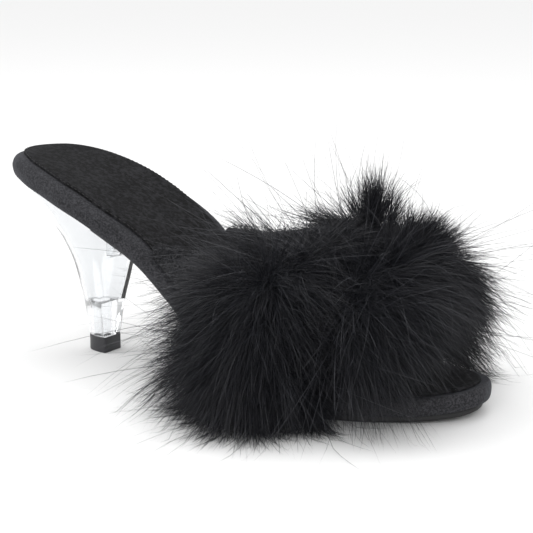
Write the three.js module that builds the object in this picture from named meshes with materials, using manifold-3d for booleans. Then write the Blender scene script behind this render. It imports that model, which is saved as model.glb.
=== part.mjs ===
// A heeled mule for the right foot: a fabric-wrapped footbed on a clear hollow heel, a thin rubber
// outsole, and a vamp band with a deep feather trim. Units are millimetres.
// The origin is on the floor under the middle of the heel tip. +X runs to the toe, +Z is up, and
// +Y is the inner (medial) side, so "near" below means the outer side and "far" the inner one.
import * as THREE from 'three';
import { mergeVertices } from 'three/addons/utils/BufferGeometryUtils.js';
import Module from 'manifold-3d';

const wasm = await Module();
wasm.setup();

// Footbed and outsole
const SOLE_LENGTH = 234.5; // plan length of the footbed with its rolled edge
const HEEL_OVERHANG = 43; // heel tip's middle to the back of the footbed
const BALL_WIDTH = 79.5;
const WAIST_WIDTH = 61;
const SEAT_WIDTH = 65.3;
const SEAT_RISE = 75.2; // underside of the footbed at the seat, above that at the ball
const TOE_SPRING = 3.5;
const SEAT_PAD = 10.8; // thickness of the wrapped footbed under the heel, ball and toe
const BALL_PAD = 5.7;
const TOE_PAD = 7.3;
const EDGE_ROLL = 4.6; // how far the wrapped edge rolls out past the seam at the heel
const EDGE_TUCK = 2.8; // how far it tucks back in below
const CUP_DEPTH = 1.4; // hollow of the footbed across the seat
const OUTSOLE_THICKNESS = 3;
const OUTSOLE_STEP = 3.2; // the outsole's edge lies this far inside the footbed's
const OUTSOLE_ROUND = 1.8;
const SOCK_THICKNESS = 1.3;
const SOCK_MARGIN = 0.7; // bare strip between the sock and the seam
const SOCK_TAPER = 22; // length over which the sock narrows to pass inside the vamp
const SOCK_CLEARANCE = 6; // its narrow part starts this far behind the vamp's wings

// Heel
const TIP_LENGTH = 12.6;
const TIP_WIDTH = 11.8;
const TIP_HEIGHT = 7;
const TIP_PLUG_RADIUS = 2.7;
const TIP_PLUG_HEIGHT = 3;
const PLUG_CLEARANCE = 0.3;
const HEEL_WALL = 2.3;
const HEEL_FLOOR = 23.5; // height of the bottom of the hollow
const BREAST_REACH = 18; // how far the breast leans to the toe, from the tip to the seat
const SEAT_MARGIN = 2.2; // the heel's top lies this far inside the footbed's rolled edge
const SEAT_SPARE = 3; // the heel's block is made this much too high, then cut to the footbed's curve
const CORNER_CUT = 0.16; // share of the heel's half width cut off each breast corner
const CORNER_BULGE = 0.3; // and how much of that cut its rounding gives back
const BOSS_RADIUS = 3.6;
const BOSS_BORE_RADIUS = 1.4;
const BOSS_LENGTH = 23; // screw boss, measured down from the seat

// Vamp
const VAMP_WALL = 2;
const RIM_MARGIN = 0.4; // the vamp's outer face lies this far inside the footbed's seam
const TOE_OPENING = 28.5; // from the toe back to the vamp's front edge, over the toes
const RIM_SETBACK = 34.5; // and where that edge meets the footbed
const VAMP_LENGTH = 42; // front edge to collar, over the instep
const WING_LENGTH = 107; // and along the footbed, where the collar's wings end
const INSTEP_HEIGHT = 70; // crown of the vamp above the floor at the collar
const VAMP_FULLNESS = 2.3; // 2 is an ellipse, more is squarer

// Feather trim
const PUFF_SPREAD = 38; // the trim's puffs of down: half their length along the shoe
const PUFF_DEPTH = 21; // how far they stand off the vamp
const PUFF_GIRTH = 27; // and half their width over the foot
const PLUME_LENGTH = 58;
const PLUME_RADIUS = 8;
const PLUME_TIP_RADIUS = 0.9;
const FLOOR_CLEARANCE = 1.5;

const GAP = 0.3; // between pieces that meet

const BALL_BED = OUTSOLE_THICKNESS + GAP;
const BACK_X = -HEEL_OVERHANG;
const TOE_X = BACK_X + SOLE_LENGTH;
const TOE_CROWN_X = TOE_X - TOE_OPENING;
const TOE_RIM_X = TOE_X - RIM_SETBACK;
const COLLAR_CROWN_X = TOE_CROWN_X - VAMP_LENGTH;
const COLLAR_WING_X = TOE_RIM_X - WING_LENGTH;

// The sole's outline, heel back to toe: shares along its length, and half widths.
const OUTLINE = [
  { along: 0, near: 0, far: 0 },
  { along: 0.04, near: 0.29 * SEAT_WIDTH, far: 0.3 * SEAT_WIDTH },
  { along: 0.115, near: 0.435 * SEAT_WIDTH, far: 0.453 * SEAT_WIDTH },
  { along: 0.215, near: 0.495 * SEAT_WIDTH, far: 0.505 * SEAT_WIDTH },
  { along: 0.29, near: 0.522 * WAIST_WIDTH, far: 0.538 * WAIST_WIDTH },
  { along: 0.36, near: 0.507 * WAIST_WIDTH, far: 0.523 * WAIST_WIDTH },
  { along: 0.425, near: 0.508 * WAIST_WIDTH, far: 0.49 * WAIST_WIDTH },
  { along: 0.49, near: 0.546 * WAIST_WIDTH, far: 0.47 * WAIST_WIDTH },
  { along: 0.55, near: 0.462 * BALL_WIDTH, far: 0.38 * BALL_WIDTH },
  { along: 0.61, near: 0.496 * BALL_WIDTH, far: 0.423 * BALL_WIDTH },
  { along: 0.7, near: 0.516 * BALL_WIDTH, far: 0.484 * BALL_WIDTH },
  { along: 0.8, near: 0.46 * BALL_WIDTH, far: 0.48 * BALL_WIDTH },
  { along: 0.9, near: 0.338 * BALL_WIDTH, far: 0.377 * BALL_WIDTH },
  { along: 0.965, near: 0.204 * BALL_WIDTH, far: 0.245 * BALL_WIDTH },
  { along: 1, near: 0, far: 0 },
];

// The footbed in profile. roll, rise and spring are shares of EDGE_ROLL, SEAT_RISE and TOE_SPRING, pad
// is the footbed's thickness, and tread is the share of the outsole's.
const PROFILE = [
  { along: 0, roll: 1, rise: 1, spring: 0, pad: SEAT_PAD, tread: 0.4 },
  { along: 0.05, roll: 1, rise: 0.996, spring: 0, pad: SEAT_PAD, tread: 0.4 },
  { along: 0.115, roll: 0.92, rise: 0.957, spring: 0, pad: SEAT_PAD, tread: 0.4 },
  { along: 0.215, roll: 0.8, rise: 0.855, spring: 0, pad: SEAT_PAD, tread: 0.4 },
  { along: 0.29, roll: 0.72, rise: 0.748, spring: 0, pad: 0.98 * SEAT_PAD, tread: 0.45 },
  { along: 0.36, roll: 0.65, rise: 0.628, spring: 0, pad: 0.96 * SEAT_PAD, tread: 0.55 },
  { along: 0.425, roll: 0.6, rise: 0.469, spring: 0, pad: 0.86 * SEAT_PAD, tread: 0.8 },
  { along: 0.49, roll: 0.55, rise: 0.29, spring: 0, pad: 0.75 * SEAT_PAD, tread: 0.95 },
  { along: 0.55, roll: 0.48, rise: 0.163, spring: 0, pad: 1.33 * BALL_PAD, tread: 1 },
  { along: 0.61, roll: 0.43, rise: 0.066, spring: 0, pad: 1.22 * BALL_PAD, tread: 1 },
  { along: 0.66, roll: 0.4, rise: 0.01, spring: 0, pad: 1.12 * BALL_PAD, tread: 1 },
  { along: 0.7, roll: 0.4, rise: 0, spring: 0, pad: 1.05 * BALL_PAD, tread: 1 },
  { along: 0.8, roll: 0.38, rise: 0, spring: 0, pad: BALL_PAD, tread: 1 },
  { along: 0.9, roll: 0.32, rise: 0, spring: 0.17, pad: 0.88 * TOE_PAD, tread: 1 },
  { along: 0.965, roll: 0.27, rise: 0, spring: 0.52, pad: 0.98 * TOE_PAD, tread: 1 },
  { along: 1, roll: 0.25, rise: 0, spring: 1, pad: TOE_PAD, tread: 1 },
];

// The wrapped edge from the seam down: shares of the roll, of the tuck and of the footbed's thickness.
const EDGE = [
  { roll: 1, tuck: 0, depth: 0 },
  { roll: 0.42, tuck: 0, depth: 0.1 },
  { roll: 0.12, tuck: 0, depth: 0.27 },
  { roll: 0, tuck: 0, depth: 0.47 },
  { roll: 0, tuck: 0.15, depth: 0.72 },
  { roll: 0, tuck: 0.5, depth: 0.91 },
  { roll: 0, tuck: 1, depth: 1 },
];

// The outsole's edge from the footbed down: shares of OUTSOLE_ROUND and of its thickness.
const OUTSOLE_EDGE = [
  { inset: 0.3, depth: 0 },
  { inset: 0, depth: 0.3 },
  { inset: 0, depth: 0.6 },
  { inset: 0.35, depth: 0.9 },
  { inset: 1, depth: 1 },
];

// The heel from its tip (up 0) to its seat (up 1): shares of its growth in width, at the breast and at
// the back.
const HEEL = [
  { up: 0.0, half: 0.0, breast: 0.0, back: 0.0 },
  { up: 0.1, half: 0.045, breast: 0.036, back: 0.027 },
  { up: 0.18, half: 0.085, breast: 0.06, back: 0.055 },
  { up: 0.26, half: 0.152, breast: 0.09, back: 0.082 },
  { up: 0.34, half: 0.23, breast: 0.13, back: 0.112 },
  { up: 0.44, half: 0.315, breast: 0.18, back: 0.165 },
  { up: 0.52, half: 0.395, breast: 0.24, back: 0.235 },
  { up: 0.6, half: 0.5, breast: 0.34, back: 0.33 },
  { up: 0.68, half: 0.634, breast: 0.49, back: 0.453 },
  { up: 0.76, half: 0.77, breast: 0.67, back: 0.592 },
  { up: 0.84, half: 0.9, breast: 0.82, back: 0.745 },
  { up: 0.92, half: 0.98, breast: 0.94, back: 0.925 },
  { up: 1.0, half: 1.0, breast: 1.0, back: 1.0 },
];

// Crown of the vamp: place along the sole, and height as a share of INSTEP_HEIGHT.
const CROWN = [
  { along: 0.38, height: 1.12 },
  { along: 0.5, height: 1.1 },
  { along: 0.61, height: 1.05 },
  { along: 0.69, height: 1.0 },
  { along: 0.76, height: 0.92 },
  { along: 0.82, height: 0.79 },
  { along: 0.885, height: 0.62 },
  { along: 0.96, height: 0.47 },
];

// The trim's two bound cords: their share of the way from the collar to the front edge, over the
// crown and at the rim.
const CORDS = [
  { crown: 0.2, rim: 0.55 },
  { crown: 0.75, rim: 0.86 },
];

// Puffs of down on the cords. over is the share of the way over the vamp from the near rim to the far
// one, shift runs to the toe, drop is down, and the rest are shares of the puffs' sizes.
const PUFFS = [
  { cord: 0, over: 0.02, shift: -0.12, drop: 0.0, spread: 0.95, depth: 1.15, girth: 0.95 },
  { cord: 0, over: 0.16, shift: -0.02, drop: 0.1, spread: 0.9, depth: 0.95, girth: 0.85 },
  { cord: 0, over: 0.34, shift: 0.16, drop: 0, spread: 0.62, depth: 0.55, girth: 0.7 },
  { cord: 1, over: 0.08, shift: -0.2, drop: 0.05, spread: 0.75, depth: 0.9, girth: 0.8 },
  { cord: 1, over: 0.28, shift: 0.1, drop: 0.05, spread: 0.85, depth: 0.85, girth: 0.8 },
  { cord: 1, over: 0.5, shift: 0.12, drop: 0, spread: 0.85, depth: 0.9, girth: 0.9 },
  { cord: 1, over: 0.72, shift: 0.1, drop: 0.05, spread: 0.85, depth: 0.85, girth: 0.8 },
  { cord: 1, over: 0.92, shift: -0.2, drop: 0.05, spread: 0.75, depth: 0.9, girth: 0.8 },
  { cord: 0, over: 0.66, shift: 0.16, drop: 0, spread: 0.62, depth: 0.55, girth: 0.7 },
  { cord: 0, over: 0.84, shift: -0.02, drop: 0.1, spread: 0.9, depth: 0.9, girth: 0.85 },
  { cord: 0, over: 0.98, shift: -0.12, drop: 0.0, spread: 0.9, depth: 1.05, girth: 0.9 },
];

// Fans of plumes. cord names the cord they grow from, lean is to the toe (+) or the heel (-), rise is
// away from the vamp, length is a share of PLUME_LENGTH, droop a share of the plume's own length, and
// first and last are shares of the way over the vamp, from the near rim to the far one.
const FANS = [
  { cord: 0, lean: -1.1, rise: 0.6, length: 0.8, droop: 0.35, plumes: 6, first: 0.0, last: 0.18 },
  { cord: 0, lean: -0.45, rise: 1.0, length: 0.78, droop: 0.6, plumes: 4, first: 0.0, last: 0.2 },
  { cord: 0, lean: 0.3, rise: 1.0, length: 0.74, droop: 0.6, plumes: 2, first: 0.02, last: 0.1 },
  { cord: 0, lean: -0.75, rise: 0.8, length: 0.36, droop: 0.15, plumes: 3, first: 0.36, last: 0.6 },
  { cord: 0, lean: 0.25, rise: 1.0, length: 0.5, droop: 0.05, plumes: 2, first: 0.5, last: 0.58 },
  { cord: 0, lean: -1.1, rise: 0.6, length: 0.84, droop: 0.35, plumes: 4, first: 0.82, last: 1.0 },
  { cord: 0, lean: -0.3, rise: 1.0, length: 0.76, droop: 0.6, plumes: 4, first: 0.82, last: 1.0 },
  { cord: 1, lean: -0.7, rise: 1.0, length: 0.72, droop: 0.6, plumes: 3, first: 0.0, last: 0.12 },
  { cord: 1, lean: 0.4, rise: 1.0, length: 0.6, droop: 0.2, plumes: 4, first: 0.26, last: 0.78 },
  { cord: 1, lean: 0.8, rise: 0.75, length: 0.72, droop: 0.35, plumes: 7, first: 0.03, last: 0.97 },
  { cord: 1, lean: 1.2, rise: 0.4, length: 0.78, droop: 0.35, plumes: 7, first: 0.14, last: 0.86 },
  { cord: 1, lean: -0.25, rise: 1.0, length: 0.74, droop: 0.55, plumes: 3, first: 0.88, last: 1.0 },
];

// A smooth curve through points that never swings past them (monotone cubic).
function smooth(xs, ys) {
  const last = xs.length - 1;
  const rise = xs.slice(1).map((x, i) => (ys[i + 1] - ys[i]) / (x - xs[i]));
  const slope = xs.map((x, i) => {
    if (i === 0 || i === last) return rise[Math.min(i, last - 1)];
    if (rise[i - 1] * rise[i] <= 0) return 0;
    return (2 * rise[i - 1] * rise[i]) / (rise[i - 1] + rise[i]);
  });
  return (x) => {
    if (x <= xs[0]) return ys[0];
    if (x >= xs[last]) return ys[last];
    let i = 0;
    while (x > xs[i + 1]) i += 1;
    const step = xs[i + 1] - xs[i];
    const t = (x - xs[i]) / step;
    const start = (1 + 2 * t) * (1 - t) ** 2 * ys[i] + t * (1 - t) ** 2 * step * slope[i];
    const end = t * t * (3 - 2 * t) * ys[i + 1] + t * t * (t - 1) * step * slope[i + 1];
    return start + end;
  };
}

const column = (rows, name) => rows.map((row) => row[name]);
const mix = (a, b, t) => a + (b - a) * t;
const clamp01 = (value) => Math.min(1, Math.max(0, value));

// The outline's tables are read by turn, which runs 0 to 1 along a side and slows down at both ends,
// so that heel and toe come out round.
const turnOf = (along) => Math.acos(1 - 2 * along) / Math.PI;
const alongOf = (turn) => (1 - Math.cos(Math.PI * turn)) / 2;
const shareAt = (x) => clamp01((x - BACK_X) / SOLE_LENGTH);

const turns = column(OUTLINE, 'along').map(turnOf);
const nearHalf = smooth(turns, column(OUTLINE, 'near'));
const farHalf = smooth(turns, column(OUTLINE, 'far'));
const alongs = column(PROFILE, 'along');
const roll = smooth(alongs, column(PROFILE, 'roll'));
const pad = smooth(alongs, column(PROFILE, 'pad'));
const tread = smooth(alongs, column(PROFILE, 'tread'));
const rise = smooth(alongs, column(PROFILE, 'rise'));
const spring = smooth(alongs, column(PROFILE, 'spring'));

// Height of the footbed's underside and of its top at a place x.
const bedHeight = (x) => BALL_BED + SEAT_RISE * rise(shareAt(x)) + TOE_SPRING * spring(shareAt(x));
const topHeight = (x) => bedHeight(x) + pad(shareAt(x));

// A point of the sole's plan outline, moved in by inset. side is -1 near and +1 far.
function planPoint(turn, side, inset) {
  const at = (t) => [BACK_X + SOLE_LENGTH * alongOf(t), side * (side < 0 ? nearHalf(t) : farHalf(t))];
  const step = 1e-3;
  const [x, y] = at(turn);
  const before = at(Math.max(0, turn - step));
  const after = at(Math.min(1, turn + step));
  const atTip = turn === 0 || turn === 1; // the outline runs straight across there
  const dx = atTip ? 0 : after[0] - before[0];
  const dy = after[1] - before[1];
  const length = Math.hypot(dx, dy);
  return [x + (side * dy * inset) / length, y - (side * dx * inset) / length];
}

// A loop round the sole: out along the near side and back along the far one. inset takes a share
// along, height takes an x, and from is the turn where the loop starts.
const SIDE_STEPS = 34;
function soleLoop(inset, height, from = 0) {
  const side = (sign) => Array.from({ length: SIDE_STEPS + 1 }, (_, i) => {
    const turn = mix(from, 1, i / SIDE_STEPS);
    const [x, y] = planPoint(turn, sign, inset(alongOf(turn)));
    return [x, y, height(x)];
  });
  return [...side(-1), ...side(1).reverse()];
}

// A closed geometry from a list of points and of triangles that index them, turned to face out.
function closedGeometry(points, triangles) {
  const loose = new THREE.BufferGeometry();
  loose.setAttribute('position', new THREE.BufferAttribute(new Float32Array(points.flat()), 3));
  loose.setIndex(triangles.flat());
  const merged = mergeVertices(loose, 1e-3);
  const index = merged.index.array;
  const kept = [];
  for (let i = 0; i < index.length; i += 3) {
    const [a, b, c] = index.slice(i, i + 3);
    if (a !== b && b !== c && c !== a) kept.push([a, b, c]);
  }
  const corner = (i) => new THREE.Vector3().fromBufferAttribute(merged.attributes.position, i);
  const volume = kept.reduce((sum, [a, b, c]) => sum + corner(a).dot(corner(b).cross(corner(c))), 0);
  merged.setIndex(volume < 0 ? kept.flatMap(([a, b, c]) => [a, c, b]) : kept.flat());
  return merged;
}

// Spans loops of equal length into a closed geometry. The first and last loop are closed by rungs
// from one side of the loop to the other, each in rungParts. sags says how deep the first and last
// loop's rungs hang in the middle, for a rung's width.
const level = () => 0;
function spanLoops(loops, rungParts = 1, sags = [level, level]) {
  const points = loops.flat();
  const triangles = [];
  const size = loops[0].length;
  const quad = (a, b, c, d) => triangles.push([a, b, c], [a, c, d]);
  for (let loop = 0; loop + 1 < loops.length; loop += 1) {
    for (let i = 0; i < size; i += 1) {
      const low = loop * size;
      const next = (i + 1) % size;
      quad(low + i, low + next, low + size + next, low + size + i);
    }
  }
  const rung = (start, i, sag) => {
    const [a, b] = [start + i, start + size - 1 - i];
    const width = Math.hypot(...points[a].map((value, axis) => value - points[b][axis]));
    const inner = Array.from({ length: rungParts - 1 }, (_, k) => {
      const share = (k + 1) / rungParts;
      const [x, y, z] = points[a].map((value, axis) => mix(value, points[b][axis], share));
      return points.push([x, y, z - 4 * share * (1 - share) * sag(width)]) - 1;
    });
    return [a, ...inner, b];
  };
  for (const [end, sag] of sags.entries()) {
    const start = end * (loops.length - 1) * size;
    const rungs = Array.from({ length: size / 2 }, (_, i) => rung(start, i, sag));
    for (let i = 0; i + 1 < rungs.length; i += 1) {
      const [one, two] = end === 0 ? [rungs[i + 1], rungs[i]] : [rungs[i], rungs[i + 1]];
      for (let k = 0; k < rungParts; k += 1) quad(one[k], two[k], two[k + 1], one[k + 1]);
    }
  }
  return closedGeometry(points, triangles);
}

function toSolid(geometry) {
  const bare = new THREE.BufferGeometry();
  bare.setAttribute('position', geometry.attributes.position);
  bare.setIndex(geometry.index);
  const merged = mergeVertices(bare, 1e-4);
  const vertProperties = new Float32Array(merged.attributes.position.array);
  const triVerts = new Uint32Array(merged.index.array);
  return new wasm.Manifold(new wasm.Mesh({ numProp: 3, vertProperties, triVerts }));
}

function toGeometry(solid) {
  const mesh = solid.getMesh();
  const geometry = new THREE.BufferGeometry();
  geometry.setAttribute('position', new THREE.BufferAttribute(new Float32Array(mesh.vertProperties), 3));
  geometry.setIndex(new THREE.BufferAttribute(new Uint32Array(mesh.triVerts), 1));
  return geometry;
}

// An upright cylinder between two heights.
const POST_SIDES = 16;
function post(radius, low, high, x = 0) {
  const geometry = new THREE.CylinderGeometry(radius, radius, high - low, POST_SIDES);
  return geometry.rotateX(Math.PI / 2).translate(x, 0, (low + high) / 2);
}

// The footbed is cupped across the seat and flat where the shoe is narrow.
const cup = (width) => CUP_DEPTH * clamp01(width / SEAT_WIDTH) ** 2;
const RUNG_PARTS = 4;

function footbed() {
  const loops = EDGE.map((row) => {
    const inset = (along) => roll(along) * (EDGE_ROLL * row.roll + EDGE_TUCK * row.tuck);
    const height = (x) => topHeight(x) - row.depth * pad(shareAt(x));
    return soleLoop(inset, height);
  });
  return spanLoops(loops, RUNG_PARTS, [cup, level]);
}

// The sock lies in the footbed's cup. It narrows before the vamp, whose rim stands beside it.
function sock() {
  const vampRoom = RIM_MARGIN + VAMP_WALL + 2 * GAP;
  const from = COLLAR_WING_X - SOCK_TAPER - SOCK_CLEARANCE;
  const narrowing = smooth([from, COLLAR_WING_X - SOCK_CLEARANCE].map(shareAt), [0, 1]);
  const inset = (along) => EDGE_ROLL * roll(along) + mix(SOCK_MARGIN, vampRoom, narrowing(along));
  const under = soleLoop(inset, (x) => topHeight(x) + GAP);
  const over = soleLoop(inset, (x) => topHeight(x) + GAP + SOCK_THICKNESS);
  return spanLoops([over, under], RUNG_PARTS, [cup, cup]);
}

// The heel's plan at a height: round at the back, flat at the breast with cut corners. shrink moves
// every side in, for the hollow.
const HEEL_STEPS = 9;
const seatTop = BALL_BED + SEAT_RISE + SEAT_SPARE;
const heelFoot = TIP_HEIGHT + GAP;
const ups = column(HEEL, 'up');
const heelHalf = smooth(ups, column(HEEL, 'half'));
const heelBreast = smooth(ups, column(HEEL, 'breast'));
const heelBack = smooth(ups, column(HEEL, 'back'));

const breastAt = (up) => TIP_LENGTH / 2 + BREAST_REACH * heelBreast(up);

function heelLoop(up, z, shrink = 0) {
  const half = mix(TIP_WIDTH / 2, SEAT_WIDTH / 2 - SEAT_MARGIN, heelHalf(up)) - shrink;
  const breast = breastAt(up) - shrink;
  const back = -mix(TIP_LENGTH / 2, HEEL_OVERHANG - SEAT_MARGIN - GAP, heelBack(up)) + shrink;
  const cut = CORNER_CUT * half;
  const bulge = CORNER_BULGE * cut;
  const side = (sign) => {
    const points = Array.from({ length: HEEL_STEPS + 1 }, (_, i) => {
      const angle = (Math.PI / 2) * (i / HEEL_STEPS);
      return [breast - cut - (breast - cut - back) * Math.cos(angle), sign * half * Math.sin(angle), z];
    });
    return [...points, [breast - bulge, sign * (half - bulge), z], [breast, sign * (half - cut), z]];
  };
  return [...side(-1), ...side(1).reverse()];
}

const heightAt = (up) => mix(heelFoot, seatTop, up);
const upAt = (z) => (z - heelFoot) / (seatTop - heelFoot);

function heelTip() {
  const block = spanLoops([heelLoop(0, 0), heelLoop(0, TIP_HEIGHT)]);
  const plug = post(TIP_PLUG_RADIUS, TIP_HEIGHT / 2, TIP_HEIGHT + TIP_PLUG_HEIGHT);
  return toGeometry(toSolid(block).add(toSolid(plug)));
}

const CUT_SPARE = 1; // a cut goes on this far past the face that it opens
function heel() {
  const outer = spanLoops(HEEL.map((row) => heelLoop(row.up, heightAt(row.up))));
  const hollowUps = [upAt(HEEL_FLOOR), ...ups.filter((up) => heightAt(up) > HEEL_FLOOR + HEEL_WALL)];
  const hollowLoops = hollowUps.map((up) => heelLoop(up, heightAt(up), HEEL_WALL));
  const above = heelLoop(1, seatTop + CUT_SPARE, HEEL_WALL);
  const hollow = spanLoops([...hollowLoops, above]);
  const bore = post(TIP_PLUG_RADIUS + PLUG_CLEARANCE, 0, HEEL_FLOOR + CUT_SPARE);
  const bossX = breastAt(upAt(bedHeight(0) - BOSS_LENGTH)) - HEEL_WALL - BOSS_RADIUS / 2;
  const bossFoot = bedHeight(bossX) - BOSS_LENGTH;
  const boss = post(BOSS_RADIUS, bossFoot, seatTop, bossX);
  const bossBore = post(BOSS_BORE_RADIUS, bossFoot + BOSS_RADIUS, seatTop + CUT_SPARE, bossX);
  const seat = toSolid(seatBlock());
  const shell = toSolid(outer).subtract(toSolid(hollow)).add(toSolid(boss).intersect(toSolid(outer)));
  return toGeometry(shell.subtract(toSolid(bossBore)).subtract(toSolid(bore)).subtract(seat));
}

// Everything above the footbed's underside, which trims the heel's top to the bed's curve.
function seatBlock() {
  const outset = () => -2 * EDGE_ROLL;
  const ceiling = 2 * seatTop;
  return spanLoops([soleLoop(outset, () => ceiling), soleLoop(outset, (x) => bedHeight(x) - GAP)]);
}

// The outsole starts where the heel's breast meets the footbed, a place found by rounds of guesses.
const START_ROUNDS = 50;
function outsoleStart() {
  let x = 0;
  for (let round = 0; round < START_ROUNDS; round += 1) x = breastAt(upAt(bedHeight(x) - GAP)) + 2 * GAP;
  return turnOf(shareAt(x));
}

function outsole() {
  const start = outsoleStart();
  const thickness = (x) => OUTSOLE_THICKNESS * tread(shareAt(x));
  const loop = (inset, depth) => soleLoop(
    (along) => OUTSOLE_STEP + inset,
    (x) => bedHeight(x) - GAP - depth * thickness(x),
    start,
  );
  return spanLoops(OUTSOLE_EDGE.map((row) => loop(OUTSOLE_ROUND * row.inset, row.depth)));
}

// The vamp's outer face over the last, at a place x and an angle over the foot from the near rim (0)
// to the far one (pi), moved out by offset.
const crownHeight = smooth(column(CROWN, 'along'), column(CROWN, 'height'));
function vampPoint(x, angle, offset = 0) {
  const turn = turnOf(shareAt(x));
  const margin = EDGE_ROLL * roll(shareAt(x)) + RIM_MARGIN;
  const low = -(nearHalf(turn) - margin);
  const high = farHalf(turn) - margin;
  const foot = topHeight(x) + GAP;
  const half = (high - low) / 2 + offset;
  const rise = INSTEP_HEIGHT * crownHeight(shareAt(x)) - foot + offset;
  const power = 2 / VAMP_FULLNESS;
  const across = -Math.sign(Math.cos(angle)) * Math.abs(Math.cos(angle)) ** power;
  return [x, (low + high) / 2 + half * across, foot + rise * Math.sin(angle) ** power];
}

const COLLAR_SWEEP = 2.2; // how sharply the collar turns back from the crown to its wings
const collarX = (angle) => mix(COLLAR_CROWN_X, COLLAR_WING_X, Math.abs(Math.cos(angle)) ** COLLAR_SWEEP);
const toeX = (angle) => mix(TOE_CROWN_X, TOE_RIM_X, Math.cos(angle) ** 2);

const ARCH_STEPS = 32;
const LENGTH_STEPS = 10;
function vamp() {
  const loops = Array.from({ length: ARCH_STEPS + 1 }, (_, i) => {
    const angle = Math.PI * (i / ARCH_STEPS);
    const row = (offset) => Array.from({ length: LENGTH_STEPS + 1 }, (_unused, k) => {
      return vampPoint(mix(collarX(angle), toeX(angle), k / LENGTH_STEPS), angle, offset);
    });
    return [...row(0), ...row(-VAMP_WALL).reverse()];
  });
  return spanLoops(loops);
}

// The space inside the vamp and the sole, a gap larger than they are. The trim keeps out of it.
const KEEP_OUT_STATIONS = 20;
const KEEP_OUT_ARCH = 16; // steps from the crown to a rim
const KEEP_OUT_REACH = 16; // how far it goes on past the vamp's ends and below the floor
function keepOut() {
  const loops = Array.from({ length: KEEP_OUT_STATIONS + 1 }, (_, i) => {
    const x = mix(COLLAR_WING_X - KEEP_OUT_REACH, TOE_CROWN_X + KEEP_OUT_REACH, i / KEEP_OUT_STATIONS);
    const side = (sign) => {
      const arch = Array.from({ length: KEEP_OUT_ARCH + 1 }, (_unused, k) => {
        return vampPoint(x, (Math.PI / 2) * (1 + sign * (k / KEEP_OUT_ARCH)), GAP);
      });
      const [, y] = arch[KEEP_OUT_ARCH];
      return [...arch, [x, y, -KEEP_OUT_REACH]];
    };
    return [...side(-1), ...side(1).reverse()];
  });
  const outset = () => -GAP;
  const bed = soleLoop(outset, (x) => topHeight(x) + GAP);
  const sole = spanLoops([bed, soleLoop(outset, () => -KEEP_OUT_REACH)]);
  return toSolid(spanLoops(loops)).add(toSolid(sole));
}

// A round tube through points, with a radius at each, as a closed solid. TUBE_UP only sets how its
// sides are turned, and no tube runs along it.
const TUBE_SIDES = 6;
const TUBE_UP = new THREE.Vector3(0.31, 0.17, 0.93).normalize();
function tube(points, radii) {
  const path = points.map((point) => new THREE.Vector3(...point));
  const loops = path.map((point, i) => {
    const ahead = path[Math.min(i + 1, path.length - 1)];
    const behind = path[Math.max(i - 1, 0)];
    const along = ahead.clone().sub(behind).normalize();
    const across = new THREE.Vector3().crossVectors(along, TUBE_UP).normalize();
    const other = new THREE.Vector3().crossVectors(across, along);
    return Array.from({ length: TUBE_SIDES }, (_, k) => {
      const angle = (2 * Math.PI * (k + 0.5)) / TUBE_SIDES;
      const offset = across.clone().multiplyScalar(Math.cos(angle) * radii[i]);
      offset.addScaledVector(other, Math.sin(angle) * radii[i]);
      return point.clone().add(offset).toArray();
    });
  });
  return toSolid(spanLoops(loops));
}

function cordX(cord, angle) {
  const share = mix(cord.crown, cord.rim, Math.cos(angle) ** 2);
  return mix(collarX(angle), toeX(angle), share);
}

// A place on a cord, the direction away from the vamp there, and a puff of down round it.
function cordPlace(cord, share, offset) {
  const angle = Math.PI * share;
  const x = cordX(cord, angle);
  const place = new THREE.Vector3(...vampPoint(x, angle, offset));
  const outward = new THREE.Vector3(...vampPoint(x, angle, offset + PUFF_DEPTH)).sub(place).normalize();
  return { place, outward };
}

const PUFF_SIDES = 12;
const PUFF_RINGS = 8;
const PUFF_SEAT = 0.25; // share of its depth that a puff's middle stands off the vamp
function puff(row) {
  const depth = PUFF_DEPTH * row.depth;
  const { place, outward } = cordPlace(CORDS[row.cord], row.over, depth * PUFF_SEAT);
  const geometry = new THREE.SphereGeometry(1, PUFF_SIDES, PUFF_RINGS);
  geometry.scale(PUFF_SPREAD * row.spread, PUFF_GIRTH * row.girth, depth);
  geometry.rotateX(Math.atan2(-outward.y, outward.z));
  geometry.translate(place.x + PUFF_SPREAD * row.shift, place.y, place.z - PUFF_GIRTH * row.drop);
  return toSolid(geometry);
}

// One plume: a tapering lock that leaves its cord, leans and rises, and droops under its weight.
const PLUME_STEPS = 3;
const PLUME_TAPER = 2.1; // 1 is a cone, more is fuller
const PLUME_VARY = 2.1; // step of the wave by which neighbouring plumes differ
const LEAN_VARY = 0.2; // by how much they differ in lean
const LENGTH_VARY = 0.14; // and in length, as a share
const radiusAt = (t) => mix(PLUME_RADIUS, PLUME_TIP_RADIUS, t ** PLUME_TAPER);

function plume(fan, index) {
  const share = mix(fan.first, fan.last, index / (fan.plumes - 1));
  const { place: root, outward } = cordPlace(CORDS[fan.cord], share, PLUME_RADIUS);
  const vary = Math.sin(PLUME_VARY * (index + FANS.indexOf(fan)));
  const direction = outward.multiplyScalar(fan.rise);
  direction.x += fan.lean + LEAN_VARY * vary;
  direction.normalize();
  const length = PLUME_LENGTH * fan.length * (1 + LENGTH_VARY * vary);
  const points = Array.from({ length: PLUME_STEPS + 1 }, (_, i) => {
    const t = i / PLUME_STEPS;
    const point = root.clone().addScaledVector(direction, length * t);
    const floor = FLOOR_CLEARANCE + radiusAt(t) + PLUME_TIP_RADIUS;
    point.z = Math.max(point.z - fan.droop * length * t * t, floor);
    return point.toArray();
  });
  return tube(points, points.map((_, i) => radiusAt(i / PLUME_STEPS)));
}

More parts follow.
